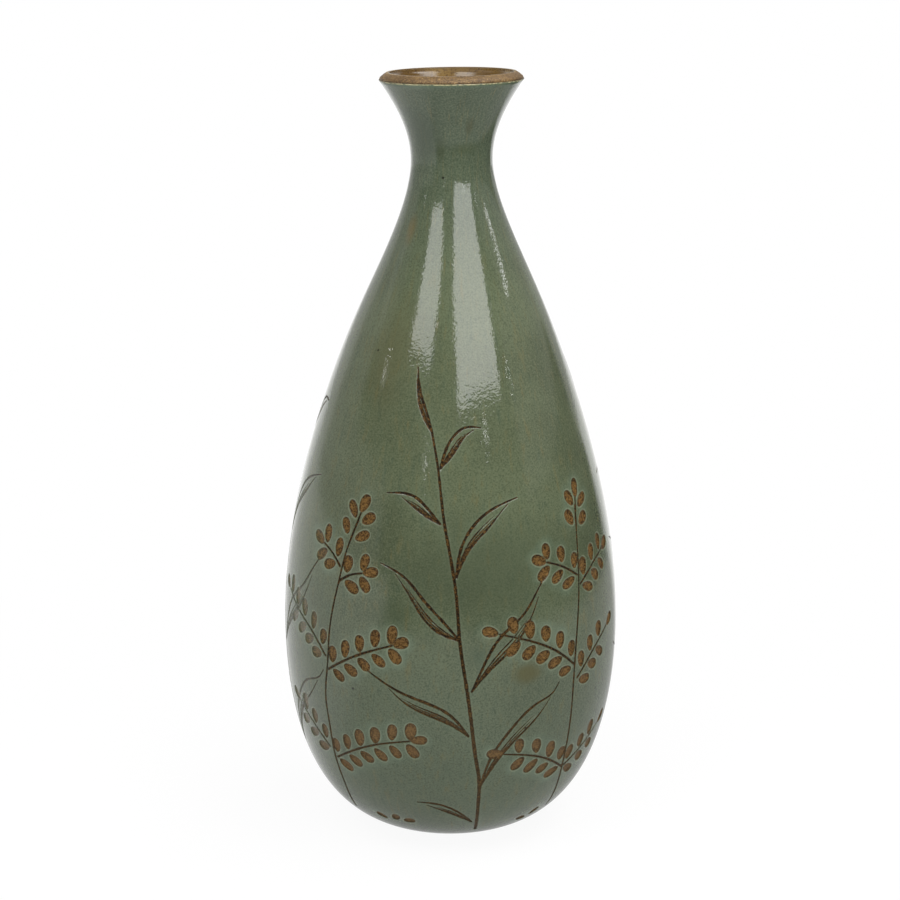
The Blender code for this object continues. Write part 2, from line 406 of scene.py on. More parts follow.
# %% Draw a branch and a plant
LEFT_PLANT = {
    "stem": [(-35.4, 83), (-37.4, 79.4), (-39.4, 75), (-40.9, 69.6), (-42.7, 63.4), (-44.3, 55.8),
             (-45.1, 48.5), (-47, 38.7), (-46.6, 33.5), (-47, 23.8), (-47, 16.8), (-50.5, 8.5)],
    "branches": [  # midrib from the stem outward, the row above it, the row below it
        ([(-37.6, 79), (-36.1, 82), (-34.6, 85.0)], (1.9, 2), (1.7, 2)),
        ([(-41.1, 72), (-45.6, 74.6), (-50.4, 76.2)], (3.4, 2), (2.6, 2)),
        ([(-40.8, 68.8), (-36.6, 70.6), (-31.6, 71.6)], (3.6, 2), (2.8, 2)),
        ([(-45.2, 46.8), (-36.0, 50.9), (-27.0, 54.0), (-19.4, 56)], (3.8, 5), (2.8, 5)),
        ([(-46, 50.1), (-54.0, 55.0), (-62.2, 57.8), (-73.0, 61.4)], (3.6, 5), (2.4, 4)),
        ([(-45.6, 24.1), (-34.5, 28.3), (-22.0, 31.6), (-14.0, 32.8)], (2.2, 6), (1.4, 6)),
        ([(-48.8, 26.3), (-56.0, 30.4), (-65.4, 34.6)], (3.2, 3), (1.6, 3)),
    ],
}
RIGHT_PLANT = {
    "stem": [(52.5, 84.6), (50.9, 78), (49.1, 67), (47.4, 59), (45.6, 47.2), (45.8, 34.2), (46.8, 22),
             (52.1, 8.5)],
    "branches": [
        ([(51.2, 79), (52.3, 82.6), (53.6, 86.2)], (3.0, 2), (2.8, 2)),
        ([(48.6, 69), (41.5, 72.0), (35.0, 73.7)], (2.4, 3), (1.9, 3)),
        ([(50, 66.7), (59.0, 70.2), (67.0, 72.2)], (3.3, 3), (1.6, 3)),
        ([(45.6, 48), (36.5, 53.0), (27.9, 56.1), (16.1, 58.9)], (3.6, 5), (1.9, 5)),
        ([(47.2, 44.4), (56.8, 50.0), (66.0, 53.6)], (3.8, 3), (1.4, 3)),
        ([(46.3, 21.4), (36.0, 25.6), (26.0, 28.0), (19.0, 28.9)], (3.6, 4), (2.4, 4)),
        ([(46.8, 21.2), (57.5, 25.0), (67.0, 28.4)], (3.0, 3), (1.8, 3)),
    ],
}
PITCH_OF_LEAFLETS = 4.35


def branch(midrib, above, below):
    """A midrib with its two rows of leaflets and the one at its end."""
    strokes = [knife_line(midrib, [0.28, 0.28, 0.25, 0.20])]
    flat = flatten(midrib)
    wide = scale_at(flat[:, 1].mean())
    line = flat * [wide, 1.0]
    knots = travelled(line)
    outward = 1 if line[-1, 0] > line[0, 0] else -1
    for (start, count), side in ((above, 1), (below, -1)):
        for at in start + PITCH_OF_LEAFLETS * np.arange(count):
            first, second = spline(knots, line, np.array([at - 0.2, at + 0.2]))
            heading = (second - first) / np.linalg.norm(second - first)
            aside = np.array([-heading[1], heading[0]]) * side * outward
            centre = (first + second) / 2 + aside * rng.uniform(2.35, 2.70)
            slope = math.degrees(math.atan2(heading[1], heading[0] * outward))
            swing = np.interp(slope, (15, 65), (67, 40)) + rng.uniform(-6, 6)
            lean = slope + swing * side
            strokes.append(mark_at(centre, wide, lean if outward > 0 else 180 - lean))
    tip, before = spline(knots, line, np.array([knots[-1], knots[-1] - 0.5]))
    heading = (tip - before) / np.linalg.norm(tip - before)
    lean = math.degrees(math.atan2(heading[1], heading[0]))
    strokes.append(mark_at(tip + heading * 2.3, wide, lean + rng.uniform(-6, 6)))
    return strokes


def mark_at(centre, wide, lean):
    """A leaflet at a flat place, of a slightly different size each time."""
    height = float(skin.look(skin.height, centre[1]))
    length = rng.uniform(3.8, 4.6)
    return Leaflet(math.degrees(centre[0] / wide), height, lean, length, rng.uniform(2.3, 2.8))


def plant(drawing, turn=0.0, mirror=1, lift=0.0):
    """A stem and its branches, turned, mirrored or lifted."""
    strokes = [knife_line(moved(drawing["stem"], turn, mirror, lift), [0.22, 0.25, 0.27, 0.28])]
    for midrib, above, below in drawing["branches"]:
        strokes += branch(moved(midrib, turn, mirror, lift), above, below)
    return strokes


print("branches of the plants:", len(LEFT_PLANT["branches"]), "and", len(RIGHT_PLANT["branches"]))

# %% [markdown]
# ## The meadow all round
#
# The reed that faces the viewer and the plants beside it are the drawings themselves. The far side shows
# the same plants again, turned, mirrored and shifted a little, as they come when someone draws them from
# memory on a slowly turning wheel.

# %% Cut the drawings round the bottle
strokes = [
    *reed(0.0),
    *plant(LEFT_PLANT),
    *plant(RIGHT_PLANT),
    *reed(-86.0, lift=1.5),
    *reed(104.0, lift=-2.0),
    *plant(LEFT_PLANT, turn=104.0, mirror=-1, lift=1.5),
    *reed(191.0, mirror=-1, lift=2.0),
    *plant(RIGHT_PLANT, turn=-81.0, mirror=-1, lift=-1.5),
]
strokes += [Leaflet(azimuth, height, lean, 3.2, 2.1) for azimuth, height, lean in (
    (-33.5, 8.6, 140), (-25.7, 9.1, 60), (-19.2, 8.7, 20), (37.3, 6.9, 150), (43.4, 8.3, 60))]
print(len(strokes), "strokes on the bottle")

# %% [markdown]
# ## How far is the nearest cut
#
# For any set of places we keep the smallest signed distance over all strokes. It is negative inside a cut,
# zero on its edge and positive outside. Strokes that overlap merge by themselves, because the smaller
# distance wins.

# %% Distance to the decoration
def nearest_cut(places):
    """For each place the signed distance to the nearest edge of a cut, and whether that cut is a line."""
    nearest = np.full(len(places), MARGIN)
    line = np.zeros(len(places))
    for stroke in strokes:
        chosen = stroke.near(places)
        distance = stroke.distance(places[chosen])
        closer = distance < nearest[chosen]
        nearest[chosen[closer]] = distance[closer]
        line[chosen[closer]] = stroke.line
    return nearest, line


def edge_distance(places):
    """The distance alone, at most MARGIN."""
    return nearest_cut(places)[0]


CUT_DEPTH = 0.29  # the fired cut, rounded and half filled by glaze


def cut_depth(distance):
    """How deep the surface lies at a distance from a cut's edge: a rounded shoulder and a flat bed."""
    share = np.clip((0.14 - distance) / 0.42, 0, 1)
    return CUT_DEPTH * share * share * (3 - 2 * share)


print("depth on a cut's edge:", round(float(cut_depth(0.0)), 3), "mm, on its bed:", CUT_DEPTH, "mm")

# %% [markdown]
# ## A mesh that follows the knife
#
# Relief this fine needs points where the cuts are, and few elsewhere. We scatter points over the skin in
# an even lattice, drop those near a cut, and put rings of points along every stroke instead: on its edge,
# just inside it and just outside. A Delaunay triangulation joins them, with the edges of the cuts as lines
# it may not cross.
#
# Triangulation works on a flat sheet and the bottle is round. The map that sends distance along the skin
# to a growing radius, and keeps azimuth as azimuth, unrolls the bottle to a flat ring without changing any
# angle, so good triangles there are good triangles on the bottle and there is no seam at the back.

# %% Scatter the points
SPACING = 1.1  # between points far from any cut
AROUND = 120  # facets at the glaze's two ends and on its hidden back


def lattice():
    """Staggered rings of points, evenly spaced over the whole skin but not near the edge of a cut."""
    rings = []
    rows = math.ceil((skin.end - skin.start) / (SPACING * 0.87))
    for row, along in enumerate(np.linspace(skin.start, skin.end, rows + 1)):
        at_an_end = row in (0, rows)
        count = AROUND if at_an_end else round(2 * math.pi * scale_at(along) / SPACING)
        turns = (np.arange(count) + (0 if at_an_end else row % 2 / 2)) * 2 * math.pi / count
        rings.append(np.stack([turns, np.full(count, along)], axis=1))
    body = np.concatenate(rings[1:-1])
    distance = edge_distance(body)
    return rings[0], body[(distance > 0.95) | (distance < -0.75)], rings[-1]


def stroke_rings():
    """Lines of points inside, on and outside the edge of every stroke, each with its distance from it."""
    rings = []
    for stroke in strokes:
        thin = stroke.half_widths.max() < 0.45  # no room for a ring inside, so its middle line serves
        rings.append((-0.25, stroke.points if thin else stroke.outline(-0.25)))
        rings += [(offset, stroke.outline(offset)) for offset in (0.0, 0.15, 0.55)]
    return rings


def stroke_points():
    """The points of the rings that no other stroke covers, and the edges of the cuts as pairs of them."""
    rings = stroke_rings()
    points = np.concatenate([ring for offset, ring in rings])
    offsets = np.concatenate([np.full(len(ring), offset) for offset, ring in rings])
    distance = edge_distance(points)
    kept = np.where(offsets < 0, distance < -0.08, np.abs(distance - offsets) < 0.08)
    index = np.cumsum(kept) - 1
    borders, start = [], 0
    for offset, ring in rings:
        if offset == 0:
            around = [(start + i, start + (i + 1) % len(ring)) for i in range(len(ring))]
            borders += [(int(index[a]), int(index[b])) for a, b in around if kept[a] and kept[b]]
        start += len(ring)
    return points[kept], borders


foot_ring, body_points, lip_ring = lattice()
cut_points, borders = stroke_points()
places = np.concatenate([foot_ring, cut_points, body_points, lip_ring])
borders = [(a + AROUND, b + AROUND) for a, b in borders]
print(len(places), "points,", len(borders), "edges of cuts")

# %% [markdown]
# ## Joining the points
#
# The glaze is a coat with a thickness, so the cut surface gets a plain back a little deeper, where it lies
# on the clay, and two narrow bands close it at the foot and at the lip. Straight glaze far from any cut
# takes its shading from the true curve of the skin rather than from the triangles, which keeps the
# reflections calm.

# %% Make meshes
DRIFT = np.array([  # height, and how far the turned form has drifted to the right there
    (0, -0.18), (25, -0.12), (60, -0.04), (100, 0.04), (122, 0.24),
    (138, 0.48), (151, 0.38), (162, 0.20), (182, 0.12)])
RIM_TILT = 0.65  # degrees


def hand_thrown(points):
    """A thrown bottle is never quite true: its neck drifts a little and the right of its rim is higher."""
    points = points.copy()
    height = points[:, 2].copy()
    share = np.clip((height - 150) / 30, 0, 1)
    points[:, 2] += points[:, 0] * math.tan(math.radians(RIM_TILT)) * share * share * (3 - 2 * share)
    points[:, 0] += spline(DRIFT[:, 0], DRIFT[:, 1:], height)[:, 0]
    return points


def new_piece(name, points, faces):
    """A mesh object from points in millimetres, smooth shaded."""
    mesh = bpy.data.meshes.new(name)
    mesh.from_pydata((hand_thrown(np.asarray(points)) * MM).tolist(), [], faces)
    mesh.polygons.foreach_set("use_smooth", [True] * len(mesh.polygons))
    mesh.update()
    piece = bpy.data.objects.new(name, mesh)
    bpy.context.scene.collection.objects.link(piece)
    print(name, len(mesh.vertices), "vertices,", len(mesh.polygons), "faces")
    return piece


def bands(first, second, around):
    """Quads between two rings of the same count, given by their first vertices."""
    nexts = [(i, (i + 1) % around) for i in range(around)]
    return [(first + i, first + j, second + j, second + i) for i, j in nexts]


def note(piece, name, values):
    """Write a number on every vertex, for the finish to read."""
    piece.data.attributes.new(name, "FLOAT", "POINT").data.foreach_set("value", values)


COAT = 0.6 + CLEARANCE  # the glaze and the gap behind it, so that it lies on the clay


def cut_coat(name):
    """The outer glaze with the decoration in it, as one closed solid."""
    spread = np.exp(np.interp(places[:, 1], skin.along, skin.growth))
    flat = [Vector((r * math.cos(t), r * math.sin(t))) for r, t in zip(spread, places[:, 0])]
    vertices, _, triangles, origins, _, _ = delaunay_2d_cdt(flat, borders, [], 0, 1e-7, True)
    source = [chosen[0] if chosen else None for chosen in origins]
    crossings = [i for i, chosen in enumerate(source) if chosen is None]
    kept = np.array([places[i] if i is not None else (0.0, 0.0) for i in source])
    for i in crossings:
        x, y = vertices[i]
        kept[i] = math.atan2(y, x), np.interp(math.log(math.hypot(x, y)), skin.growth, skin.along)
    foot = {i for i, chosen in enumerate(source) if chosen is not None and chosen < AROUND}
    faces = [tuple(f[::-1]) for f in triangles if not all(i in foot for i in f)]
    distance, line = nearest_cut(kept)
    depth = cut_depth(distance)
    front = skin.place(kept[:, 0], kept[:, 1], depth)
    rows = 60  # of faces up the hidden back
    turns = np.arange(AROUND) * 2 * math.pi / AROUND
    alongs = np.linspace(skin.start, skin.end, rows + 1)
    back = np.concatenate([skin.place(turns, np.full(AROUND, along), COAT) for along in alongs])
    found = {chosen: i for i, chosen in enumerate(source) if chosen is not None}
    first_ring = [found[i] for i in range(AROUND)]
    last_ring = [found[len(places) - AROUND + i] for i in range(AROUND)]
    base = len(front)
    for row in range(rows):
        faces += [f[::-1] for f in bands(base + row * AROUND, base + (row + 1) * AROUND, AROUND)]
    for i in range(AROUND):
        j = (i + 1) % AROUND
        faces.append((base + i, base + j, first_ring[j], first_ring[i]))
        top = base + rows * AROUND
        faces.append((last_ring[i], last_ring[j], top + j, top + i))
    piece = new_piece(name, np.concatenate([front, back]), faces)
    to_end = np.minimum(skin.end - kept[:, 1], kept[:, 1] - skin.start) + 0.06
    note(piece, "edge", np.concatenate([np.minimum(distance, to_end), np.full(len(back), MARGIN)]))
    note(piece, "line", np.concatenate([line, np.zeros(len(back))]))
    normals = np.array([vertex.normal for vertex in piece.data.vertices])
    calm = np.flatnonzero((depth == 0) & (kept[:, 1] > skin.start) & (kept[:, 1] < skin.end))
    normals[calm] = skin.straight_out(kept[calm, 0], kept[calm, 1])
    piece.data.normals_split_custom_set_from_vertices(normals.tolist())
    return piece


glaze = cut_coat("outer_glaze_coat")

# %% [markdown]
# ## Clay and liner
#
# The clay wall and the amber glaze inside are turned from their own redrawn sections. Most of the clay is
# hidden between the two coats. It shows at the lip, where the glaze was wiped off in a bevel, and at the
# foot ring, which had to stay bare so that the bottle would not stick to the kiln shelf.

# %% Turn a section round the axis
def turned(name, line, around):
    """A solid of revolution from a line that starts and ends on the axis, or closes on itself."""
    turns = np.arange(around) * 2 * math.pi / around
    area = (line[:-1, 0] * line[1:, 1] - line[1:, 0] * line[:-1, 1]).sum()
    line = line if area > 0 else line[::-1]  # round the section this way, the faces look outward
    points, rings = [], []
    for radius, height in line:
        rings.append((len(points), radius > 0.001))
        if radius > 0.001:
            points += [(radius * math.sin(t), -radius * math.cos(t), height) for t in turns]
        else:
            points.append((0.0, 0.0, height))
    if np.allclose(line[0], line[-1]):
        del points[-around:]
        rings[-1] = rings[0]
    faces = []
    for (low, low_wide), (high, high_wide) in zip(rings, rings[1:]):
        if low_wide and high_wide:
            faces += bands(low, high, around)
        elif high_wide:
            faces += [(low, high + (i + 1) % around, high + i) for i in range(around)]
        else:
            faces += [(low + i, low + (i + 1) % around, high) for i in range(around)]
    return new_piece(name, np.array(points), faces)


def to_axis(line):
    """The line with a last point on the axis, where a flat face closes the solid."""
    return line if line[-1, 0] < 0.001 else np.concatenate([line, [[0.0, line[-1, 1]]]])


clay = turned("clay_wall", redraw(to_axis(sections["stoneware_body"]), 0.9), 144)
liner = turned("inner_glaze_coat", redraw(to_axis(sections["inner_glaze"]), 1.2), 144)

# %% [markdown]
# ## Mixing finishes
#
# A finish is a tree of shader nodes. Written out by hand such a tree hides what it says, so one small class
# wraps a node's output and lets us write ordinary arithmetic: (1 - mask) * 0.3 adds the two Math nodes it
# needs. Colours are mixed with a Mix node, never with Math, because Math turns a colour grey.

# %% Shader arithmetic
class Wire:
    """One output of a node, which can be added, multiplied and compared."""

    def __init__(self, finish, socket):
        self.finish = finish
        self.socket = socket

    def maths(self, operation, *terms):
        sockets = dict(enumerate(terms))
        return self.finish.node("Math", {"operation": operation}, sockets)

    def __add__(self, other):
        return self.maths("ADD", self, other)

    def __radd__(self, other):
        return self.maths("ADD", other, self)

    def __sub__(self, other):
        return self.maths("SUBTRACT", self, other)

    def __rsub__(self, other):
        return self.maths("SUBTRACT", other, self)

    def __mul__(self, other):
        return self.maths("MULTIPLY", self, other)

    def __rmul__(self, other):
        return self.maths("MULTIPLY", other, self)


def tint(red, green, blue):
    """A colour given as 0 to 255 on screen, in the linear light that shaders reckon in."""
    parts = [c / 255 for c in (red, green, blue)]
    return (*[c / 12.92 if c <= 0.04045 else ((c + 0.055) / 1.055) ** 2.4 for c in parts], 1.0)


class Finish:
    """The node tree of a material, or of the world, being built."""

    def __init__(self, owner):
        self.owner = owner
        owner.use_nodes = True
        self.tree = owner.node_tree
        self.tree.nodes.clear()

    def node(self, kind, settings=None, sockets=None, output=0):
        """Add a node: first its settings, then the values or links of its sockets."""
        made = self.tree.nodes.new("ShaderNode" + kind)
        for name, value in (settings or {}).items():
            setattr(made, name, value)
        for name, value in (sockets or {}).items():
            if isinstance(value, Wire):
                self.tree.links.new(value.socket, made.inputs[name])
            else:
                made.inputs[name].default_value = value
        return Wire(self, made.outputs[output]) if made.outputs else None

    def mix(self, first, second, share):
        """A colour between two colours."""
        sockets = {0: share, 6: first, 7: second}
        return self.node("Mix", {"data_type": "RGBA"}, sockets, 2)

    def between(self, value, low, high):
        """0 below low, 1 above high and a smooth rise between; low may be the larger one."""
        sockets = {"Value": value, "From Min": low, "From Max": high}
        return self.node("MapRange", {"interpolation_type": "SMOOTHSTEP"}, sockets)

    def place(self):
        """Places on the object, in metres."""
        return self.node("TexCoord", {}, {}, 3)

    def stretched(self, vector, scale):
        """Places multiplied along each axis."""
        return self.node("VectorMath", {"operation": "MULTIPLY"}, {0: vector, 1: scale})

    def noise(self, vector, scale, detail=2.0, roughness=0.5):
        """Cloudy noise from 0 to 1 with scale features to the metre."""
        sockets = {"Vector": vector, "Scale": scale, "Detail": detail, "Roughness": roughness}
        return self.node("TexNoise", {}, sockets)

    def attribute(self, name):
        return self.node("Attribute", {"attribute_name": name}, {}, 2)

    def patch(self, place, azimuth, level, size, ragged):
        """A soft uneven spot on the skin, 1 in its middle; size is its reach across and upright."""
        across, upright = (reach * MM for reach in size)
        middle = skin.place(math.radians(azimuth), skin.along_at(level)) * MM
        away = self.node("VectorMath", {"operation": "SUBTRACT"}, {0: place, 1: tuple(middle)})
        scaled = self.stretched(away, (1 / across, 1 / across, 1 / upright))
        far = self.node("VectorMath", {"operation": "LENGTH"}, {0: scaled}, "Value")
        return self.between(far + (ragged - 0.5) * 1.6, 1.1, 0.2)

    def bump(self, height, distance, under=None):
        """A bump of a real height in metres, over another if one is given."""
        sockets = {"Strength": 1.0, "Distance": distance, "Height": height}
        if under is not None:
            sockets["Normal"] = under
        return self.node("Bump", {}, sockets)

    def surface(self, sockets, mask=None, others=None):
        """Close the tree with a Principled surface, and with another one where a mask is 1."""
        shader = self.node("BsdfPrincipled", {}, sockets)
        if others:
            second = self.node("BsdfPrincipled", {}, others)
            shader = self.node("MixShader", {}, {0: mask, 1: shader, 2: second})
        self.node("OutputMaterial", {}, {"Surface": shader})
        return self.owner


print("half way up the screen's scale is", round(tint(128, 128, 128)[0], 3), "in linear light")

# %% [markdown]
# ## Celadon
#
# The outer glaze owes its grey green to a little iron fired without enough air. It is glass: hard
# highlights, and a surface that still shows the throwing and the grit beneath as tiny dimples. Where it ran
# thin it turns olive, and while it was liquid it drew fine upright streaks. A streak is noise that changes
# round the bottle but hardly with height, so it reads the direction from the axis and not the place.
#
# The distance to the nearest cut does the rest. Inside a cut the iron-rich clay shows brown and mottled. It
# is rubbed clay and no glass, so it is a second surface, nearly matt, and the distance says which of the two
# is seen. A thin pale line runs along the edge, where the glaze pulled back, and around it the glaze lies a
# little thicker and bluer. A glaze also has its accidents, patches where it lay thick or thin and pinholes
# where a bubble burst, and these are placed one by one.

# %% Mix the celadon
GLAZE_PATCHES = [  # azimuth, height, reach across and upright, colour, strength: where the glaze lay unevenly
    (-44, 147, (2.2, 9), tint(92, 78, 42), 0.6),
    (-34, 122, (9, 30), tint(82, 80, 54), 0.45),
    (-20, 63, (6, 4), tint(62, 72, 52), 0.4),
    (-14, 165, (1.5, 3.6), tint(60, 66, 46), 0.45),
    (22, 170, (1.2, 4.0), tint(60, 60, 36), 0.5),
    (16, 165, (4, 1.8), tint(64, 72, 50), 0.4),
    (25.5, 49, (4.4, 3.2), tint(76, 73, 40), 0.75),
    (10, 54, (4, 4), tint(60, 74, 58), 0.5),
    (18, 76, (24, 16), tint(66, 75, 56), 0.5),
    (-38, 168, (6, 10), tint(56, 66, 52), 0.6),
    (150, 118, (12, 20), tint(90, 86, 54), 0.5),
]
PINHOLES = [(-10.6, 158.4), (-42.2, 120.3), (-34.1, 44), (25.9, 35.1), (118, 92), (-150, 132), (162, 40)]


def celadon():
    """The grey-green glaze, and the brown clay where a cut goes through it."""
    finish = Finish(bpy.data.materials.new("celadon"))
    place = finish.place()
    round_it = finish.node("VectorMath", {"operation": "NORMALIZE"}, {0: finish.stretched(place, (1, 1, 0))})
    lifted = finish.stretched(place, (0, 0, 7.0))
    direction = finish.node("VectorMath", {"operation": "ADD"}, {0: round_it, 1: lifted})
    streaks = finish.noise(direction, 26.0, 3.0, 0.6)
    clouds = finish.noise(place, 38.0, 3.0)
    grain = finish.noise(place, 2600.0, 2.0)
    speckle = finish.noise(place, 900.0, 3.0, 0.65)
    height = finish.node("SeparateXYZ", {}, {0: place}, 2)
    edge = finish.attribute("edge")
    line = finish.attribute("line")

    body = finish.mix(tint(71, 78, 57), tint(85, 93, 70), finish.between(clouds, 0.32, 0.66))
    # towards the foot the glaze turns paler and bluer: partly its own tone, partly a painted reflection of
    # the white table
    body = finish.mix(body, tint(80, 90, 73), finish.between(height, 0.085, 0.02) * 0.75)
    body = finish.mix(body, tint(70, 80, 65), finish.between(height, 0.125, 0.165) * 0.8)
    body = finish.mix(body, tint(98, 92, 58), finish.between(streaks, 0.54, 0.74) * 0.45)
    body = finish.mix(body, tint(58, 72, 58), finish.between(streaks, 0.46, 0.26) * 0.40)
    body = finish.mix(body, tint(46, 54, 40), finish.between(speckle, 0.58, 0.76) * 0.35)
    body = finish.mix(body, tint(100, 108, 84), finish.between(grain, 0.50, 0.34) * 0.32)
    body = finish.mix(body, tint(44, 52, 36), finish.between(grain, 0.52, 0.68) * 0.38)
    for azimuth, level, size, colour, amount in GLAZE_PATCHES:
        body = finish.mix(body, colour, finish.patch(place, azimuth, level, size, clouds) * amount)
    halo = finish.between(edge, 2.2, 0.3) * finish.between(clouds, 0.35, 0.62) * (1 - line * 0.8)
    body = finish.mix(body, tint(96, 112, 94), halo * 0.40)
    pale = finish.between(edge, 0.45, 0.18) * finish.between(edge, -0.05, 0.12)
    at_lip = finish.between(height, 0.166, 0.171)
    pale_colour = finish.mix(tint(124, 130, 106), tint(196, 184, 140), at_lip)
    broken = at_lip * finish.between(speckle, 0.42, 0.56)
    body = finish.mix(body, pale_colour, pale * (0.40 - line * 0.32 - at_lip * 0.3 + broken * 0.55))
    for azimuth, level in PINHOLES:
        body = finish.mix(body, tint(20, 18, 12), finish.patch(place, azimuth, level, (0.42, 0.42), 0.5))

    mottle = finish.noise(place, 1700.0, 4.0, 0.75)
    flecks = finish.between(mottle * 0.5 + grain * 0.5, 0.45, 0.57)
    leafy = finish.mix(tint(104, 78, 41), tint(54, 38, 16), flecks)
    leafy = finish.mix(leafy, tint(138, 108, 64), finish.between(mottle, 0.42, 0.32) * 0.5)
    # painted light: the middle of a leaflet's bed is lighter, as if lit, against the shade of its walls
    leafy = finish.mix(leafy, tint(122, 91, 50), finish.between(edge, -0.45, -0.95) * 0.2)
    # low on the bottle the leaflets turn paler: a painted reflection of the white table
    leafy = finish.mix(leafy, tint(104, 86, 62), finish.between(height, 0.056, 0.034) * 0.4)
    lined = finish.mix(tint(84, 60, 25), tint(18, 11, 2), finish.between(mottle, 0.42, 0.54))
    lined = finish.mix(lined, tint(124, 94, 50), finish.between(mottle, 0.40, 0.30) * 0.5)
    # low on the bottle the knife lines turn paler: a painted reflection of the white table
    lined = finish.mix(lined, tint(96, 78, 50), finish.between(height, 0.056, 0.028) * 0.45)
    covered = finish.between(finish.node("SeparateXYZ", {}, {0: place}, 0), -0.026, -0.036) * 0.5
    cut = finish.between(edge + (mottle - 0.5) * 0.36, 0.06, -0.07) * (1 - covered)
    # painted shade: the inside of a cut turns dark brown towards its edge, as if its walls were in shadow
    rim_shade = finish.between(edge + (mottle - 0.5) * 0.9, -0.50, -0.05) * 0.5
    brown = finish.mix(finish.mix(leafy, lined, line), tint(36, 24, 11), rim_shade)

    dimples = finish.noise(place, 1300.0, 1.0, 0.4)
    swells = finish.noise(place, 260.0, 1.0)
    relief = finish.bump(swells, 0.000020)
    relief = finish.bump(dimples, 0.000026, relief)
    relief = finish.bump(grain, 0.000006, relief)
    rough = 0.075 + (speckle - 0.5) * 0.04
    glass = {"Base Color": body, "Roughness": rough, "IOR": 1.5, "Normal": relief}
    rubbed = {"Base Color": brown, "Roughness": 0.5, "Specular IOR Level": 0.12}
    rubbed["Normal"] = finish.bump(mottle, 0.00008)
    return finish.surface(glass, cut, rubbed)


print(len(GLAZE_PATCHES), "patches and", len(PINHOLES), "pinholes in the glaze")

# %% [markdown]
# ## Bare clay
#
# Iron gives the stoneware its brown, coarse grog gives it speckles, and wiping leaves it slightly sanded.
# It is almost matt, so its grain is seen in colour and in a fine bump together.

# %% Mix the clay
def bare_clay():
    """Speckled brown clay with a painted highlight along the top of the lip, and glossy where the liner runs
    out inside.
    """
    finish = Finish(bpy.data.materials.new("bare_clay"))
    place = finish.place()
    grog = finish.noise(place, 2400.0, 4.0, 0.75)
    clouds = finish.noise(place, 160.0, 2.0)
    colour = finish.mix(tint(114, 88, 50), tint(95, 71, 37), finish.between(clouds, 0.35, 0.7))
    colour = finish.mix(colour, tint(62, 44, 22), finish.between(grog, 0.50, 0.60) * 0.85)
    colour = finish.mix(colour, tint(166, 138, 92), finish.between(grog, 0.45, 0.35) * 0.7)
    level = finish.stretched(place, (1, 1, 0))
    radius = finish.node("VectorMath", {"operation": "LENGTH"}, {0: level}, "Value")
    height = finish.node("SeparateXYZ", {}, {0: place}, 2)
    at_lip = finish.between(height, 0.170, 0.172)
    # painted highlight: a pale line along the rounded top of the lip, where its glossy edge would catch the
    # light
    lip_highlight = at_lip * finish.between(radius, 0.0151, 0.0147) * finish.between(radius, 0.0141, 0.0145)
    colour = finish.mix(colour, tint(184, 162, 118), lip_highlight * 0.4)
    inside = at_lip * finish.between(radius, 0.0146, 0.0142)
    colour = finish.mix(colour, tint(96, 68, 30), inside)
    relief = finish.bump(grog, 0.00010)
    rough = 0.46 + grog * 0.2 - inside * 0.4
    return finish.surface({"Base Color": colour, "Roughness": rough, "IOR": 1.5, "Normal": relief})


# %% [markdown]
# ## Amber liner
#
# Inside, a clear glaze over the brown clay gives a warm amber. It is as glossy as the outside and a little
# uneven where it was swilled round and poured out.

# %% Mix the amber
def amber():
    """The clear liner over brown clay."""
    finish = Finish(bpy.data.materials.new("amber"))
    place = finish.place()
    clouds = finish.noise(place, 120.0, 3.0)
    specks = finish.noise(place, 2000.0, 3.0, 0.7)
    colour = finish.mix(tint(116, 92, 48), tint(86, 64, 30), finish.between(clouds, 0.35, 0.7))
    colour = finish.mix(colour, tint(60, 40, 18), finish.between(specks, 0.50, 0.64) * 0.7)
    relief = finish.bump(specks, 0.00002, finish.bump(clouds, 0.00015))
    rough = 0.09 + specks * 0.06
    return finish.surface({"Base Color": colour, "Roughness": rough, "IOR": 1.5, "Normal": relief})


# %% [markdown]
# ## Giving each piece its finish and its place
#
# Every visible piece gets the material slot it takes its finish from and the body it moves with, and the
# imported solid it stands for is hidden.

# %% Dress the three layers
def dress(piece, material, node):
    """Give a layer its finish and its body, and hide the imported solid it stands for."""
    piece.data.materials.append(material)
    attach(piece, "root")
    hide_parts(node)
    print(piece.name, "wears", material.name, "of", len(material.node_tree.nodes), "nodes")


dress(glaze, celadon(), "outer_glaze")
dress(clay, bare_clay(), "stoneware_body")
dress(liner, amber(), "inner_glaze")

# %% [markdown]
# ## The table and the room
#
# A glossy pot is a mirror, so its look depends on what stands round it. To the camera the table and the
# room are plain white, and the table still takes a soft shadow. To the glaze they are something else: a
# white sheet on the table close to the bottle, more white behind it and to the left, and a dim room with
# a few pale walls and two bright windows. A Light Path node tells the two kinds of ray apart.

# %% Floor and sky
TABLE_RADIUS = 2.2  # metres, well past the picture's edges


